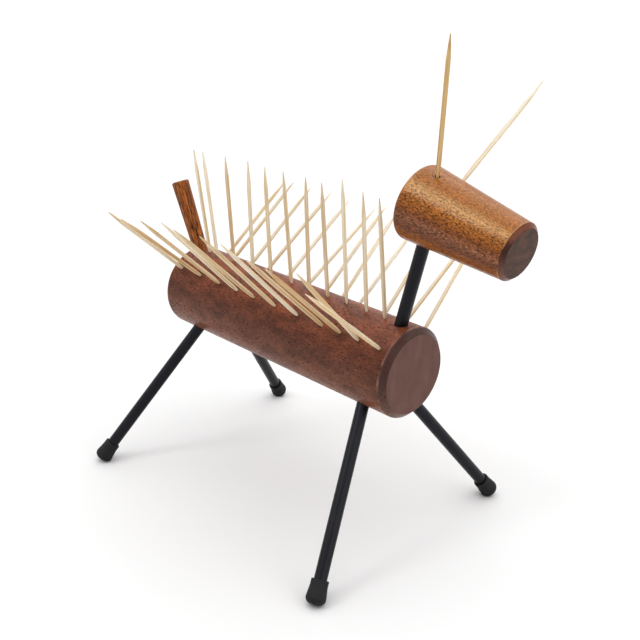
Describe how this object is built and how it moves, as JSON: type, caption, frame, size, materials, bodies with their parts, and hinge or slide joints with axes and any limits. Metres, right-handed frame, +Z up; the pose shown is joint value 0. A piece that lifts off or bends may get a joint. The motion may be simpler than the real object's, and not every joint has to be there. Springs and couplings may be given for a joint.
{
  "type": "cocktail pick holder",
  "caption": "Animal-shaped holder for cocktail picks: a turned wooden body and head on splayed rod legs with rubber feet, with wooden picks standing in rows of drilled holes as spines.",
  "frame": {"origin": "on the surface that it stands on, under the middle of the whole holder", "axes": "+X the way the animal faces, along the body; +Y its left side; +Z up"},
  "size_m": [0.2364, 0.144, 0.252],
  "materials": {
    "body_wood": "satin oiled",
    "head_wood": "satin oiled",
    "tail_wood": "satin oiled",
    "pick_wood": "plain",
    "black_rod": "satin black",
    "foot_rubber": "matte"
  },
  "bodies": {
    "holder": {"body": "body_wood", "foot_front_left": "foot_rubber", "foot_front_right": "foot_rubber", "foot_rear_left": "foot_rubber", "foot_rear_right": "foot_rubber", "head": "head_wood", "leg_front_left": "black_rod", "leg_front_right": "black_rod", "leg_rear_left": "black_rod", "leg_rear_right": "black_rod", "neck": "black_rod", "tail": "tail_wood"},
    "ear_left": {"ear_left": "pick_wood"},
    "ear_right": {"ear_right": "pick_wood"},
    "pick_centre_01": {"pick_centre_01": "pick_wood"},
    "pick_centre_02": {"pick_centre_02": "pick_wood"},
    "pick_centre_03": {"pick_centre_03": "pick_wood"},
    "pick_centre_04": {"pick_centre_04": "pick_wood"},
    "pick_centre_05": {"pick_centre_05": "pick_wood"},
    "pick_centre_06": {"pick_centre_06": "pick_wood"},
    "pick_centre_07": {"pick_centre_07": "pick_wood"},
    "pick_centre_08": {"pick_centre_08": "pick_wood"},
    "pick_centre_09": {"pick_centre_09": "pick_wood"},
    "pick_centre_10": {"pick_centre_10": "pick_wood"},
    "pick_centre_11": {"pick_centre_11": "pick_wood"},
    "pick_left_01": {"pick_left_01": "pick_wood"},
    "pick_left_02": {"pick_left_02": "pick_wood"},
    "pick_left_03": {"pick_left_03": "pick_wood"},
    "pick_left_04": {"pick_left_04": "pick_wood"},
    "pick_left_05": {"pick_left_05": "pick_wood"},
    "pick_left_06": {"pick_left_06": "pick_wood"},
    "pick_left_07": {"pick_left_07": "pick_wood"},
    "pick_left_08": {"pick_left_08": "pick_wood"},
    "pick_left_09": {"pick_left_09": "pick_wood"},
    "pick_left_10": {"pick_left_10": "pick_wood"},
    "pick_left_11": {"pick_left_11": "pick_wood"},
    "pick_left_12": {"pick_left_12": "pick_wood"},
    "pick_right_01": {"pick_right_01": "pick_wood"},
    "pick_right_02": {"pick_right_02": "pick_wood"},
    "pick_right_03": {"pick_right_03": "pick_wood"},
    "pick_right_04": {"pick_right_04": "pick_wood"},
    "pick_right_05": {"pick_right_05": "pick_wood"},
    "pick_right_06": {"pick_right_06": "pick_wood"},
    "pick_right_07": {"pick_right_07": "pick_wood"},
    "pick_right_08": {"pick_right_08": "pick_wood"},
    "pick_right_09": {"pick_right_09": "pick_wood"},
    "pick_right_10": {"pick_right_10": "pick_wood"},
    "pick_right_11": {"pick_right_11": "pick_wood"}
  },
  "joints": [
    {"name": "ear_left_pull", "type": "slide", "parent": "holder", "child": "ear_left", "axis": [0.1765, 0.6878, 0.7041], "range_m": [0, 0.015]},
    {"name": "ear_right_pull", "type": "slide", "parent": "holder", "child": "ear_right", "axis": [0.0797, -0.0728, 0.9942], "range_m": [0, 0.015]},
    {"name": "pick_centre_01_pull", "type": "slide", "parent": "holder", "child": "pick_centre_01", "axis": [-0.2079, 0, 0.9781], "range_m": [0, 0.015]},
    {"name": "pick_centre_02_pull", "type": "slide", "parent": "holder", "child": "pick_centre_02", "axis": [-0.2079, 0.0171, 0.978], "range_m": [0, 0.015]},
    {"name": "pick_centre_03_pull", "type": "slide", "parent": "holder", "child": "pick_centre_03", "axis": [-0.1045, 0, 0.9945], "range_m": [0, 0.015]},
    {"name": "pick_centre_04_pull", "type": "slide", "parent": "holder", "child": "pick_centre_04", "axis": [-0.1219, 0.0519, 0.9912], "range_m": [0, 0.015]},
    {"name": "pick_centre_05_pull", "type": "slide", "parent": "holder", "child": "pick_centre_05", "axis": [-0.1045, 0.0174, 0.9944], "range_m": [0, 0.015]},
    {"name": "pick_centre_06_pull", "type": "slide", "parent": "holder", "child": "pick_centre_06", "axis": [-0.1564, 0.0345, 0.9871], "range_m": [0, 0.015]},
    {"name": "pick_centre_07_pull", "type": "slide", "parent": "holder", "child": "pick_centre_07", "axis": [-0.1045, 0.0347, 0.9939], "range_m": [0, 0.015]},
    {"name": "pick_centre_08_pull", "type": "slide", "parent": "holder", "child": "pick_centre_08", "axis": [-0.1045, 0, 0.9945], "range_m": [0, 0.015]},
    {"name": "pick_centre_09_pull", "type": "slide", "parent": "holder", "child": "pick_centre_09", "axis": [-0.1392, 0.0518, 0.9889], "range_m": [0, 0.015]},
    {"name": "pick_centre_10_pull", "type": "slide", "parent": "holder", "child": "pick_centre_10", "axis": [-0.1392, 0.0518, 0.9889], "range_m": [0, 0.015]},
    {"name": "pick_centre_11_pull", "type": "slide", "parent": "holder", "child": "pick_centre_11", "axis": [-0.1219, 0, 0.9925], "range_m": [0, 0.015]},
    {"name": "pick_left_01_pull", "type": "slide", "parent": "holder", "child": "pick_left_01", "axis": [0.0349, 0.7656, 0.6424], "range_m": [0, 0.015]},
    {"name": "pick_left_02_pull", "type": "slide", "parent": "holder", "child": "pick_left_02", "axis": [0.0698, 0.7413, 0.6675], "range_m": [0, 0.015]},
    {"name": "pick_left_03_pull", "type": "slide", "parent": "holder", "child": "pick_left_03", "axis": [0.0523, 0.7537, 0.6552], "range_m": [0, 0.015]},
    {"name": "pick_left_04_pull", "type": "slide", "parent": "holder", "child": "pick_left_04", "axis": [0.1564, 0.7105, 0.6861], "range_m": [0, 0.015]},
    {"name": "pick_left_05_pull", "type": "slide", "parent": "holder", "child": "pick_left_05", "axis": [0.0523, 0.7761, 0.6285], "range_m": [0, 0.015]},
    {"name": "pick_left_06_pull", "type": "slide", "parent": "holder", "child": "pick_left_06", "axis": [0.1219, 0.7714, 0.6246], "range_m": [0, 0.015]},
    {"name": "pick_left_07_pull", "type": "slide", "parent": "holder", "child": "pick_left_07", "axis": [0.0349, 0.7427, 0.6687], "range_m": [0, 0.015]},
    {"name": "pick_left_08_pull", "type": "slide", "parent": "holder", "child": "pick_left_08", "axis": [-0.0349, 0.7542, 0.6557], "range_m": [0, 0.015]},
    {"name": "pick_left_09_pull", "type": "slide", "parent": "holder", "child": "pick_left_09", "axis": [0.0523, 0.7537, 0.6552], "range_m": [0, 0.015]},
    {"name": "pick_left_10_pull", "type": "slide", "parent": "holder", "child": "pick_left_10", "axis": [-0.0523, 0.7537, 0.6552], "range_m": [0, 0.015]},
    {"name": "pick_left_11_pull", "type": "slide", "parent": "holder", "child": "pick_left_11", "axis": [0.0872, 0.7518, 0.6536], "range_m": [0, 0.015]},
    {"name": "pick_left_12_pull", "type": "slide", "parent": "holder", "child": "pick_left_12", "axis": [-0.0698, 0.7529, 0.6545], "range_m": [0, 0.015]},
    {"name": "pick_right_01_pull", "type": "slide", "parent": "holder", "child": "pick_right_01", "axis": [-0.0872, -0.7286, 0.6794], "range_m": [0, 0.015]},
    {"name": "pick_right_02_pull", "type": "slide", "parent": "holder", "child": "pick_right_02", "axis": [-0.1564, -0.734, 0.6609], "range_m": [0, 0.015]},
    {"name": "pick_right_03_pull", "type": "slide", "parent": "holder", "child": "pick_right_03", "axis": [-0.2079, -0.6917, 0.6917], "range_m": [0, 0.015]},
    {"name": "pick_right_04_pull", "type": "slide", "parent": "holder", "child": "pick_right_04", "axis": [-0.2079, -0.6545, 0.7269], "range_m": [0, 0.015]},
    {"name": "pick_right_05_pull", "type": "slide", "parent": "holder", "child": "pick_right_05", "axis": [-0.2588, -0.6588, 0.7064], "range_m": [0, 0.015]},
    {"name": "pick_right_06_pull", "type": "slide", "parent": "holder", "child": "pick_right_06", "axis": [-0.1908, -0.6568, 0.7295], "range_m": [0, 0.015]},
    {"name": "pick_right_07_pull", "type": "slide", "parent": "holder", "child": "pick_right_07", "axis": [-0.2079, -0.6545, 0.7269], "range_m": [0, 0.015]},
    {"name": "pick_right_08_pull", "type": "slide", "parent": "holder", "child": "pick_right_08", "axis": [-0.1564, -0.6984, 0.6984], "range_m": [0, 0.015]},
    {"name": "pick_right_09_pull", "type": "slide", "parent": "holder", "child": "pick_right_09", "axis": [-0.1219, -0.714, 0.6895], "range_m": [0, 0.015]},
    {"name": "pick_right_10_pull", "type": "slide", "parent": "holder", "child": "pick_right_10", "axis": [-0.0175, -0.6819, 0.7312], "range_m": [0, 0.015]},
    {"name": "pick_right_11_pull", "type": "slide", "parent": "holder", "child": "pick_right_11", "axis": [-0.0698, -0.7642, 0.6412], "range_m": [0, 0.015]}
  ]
}
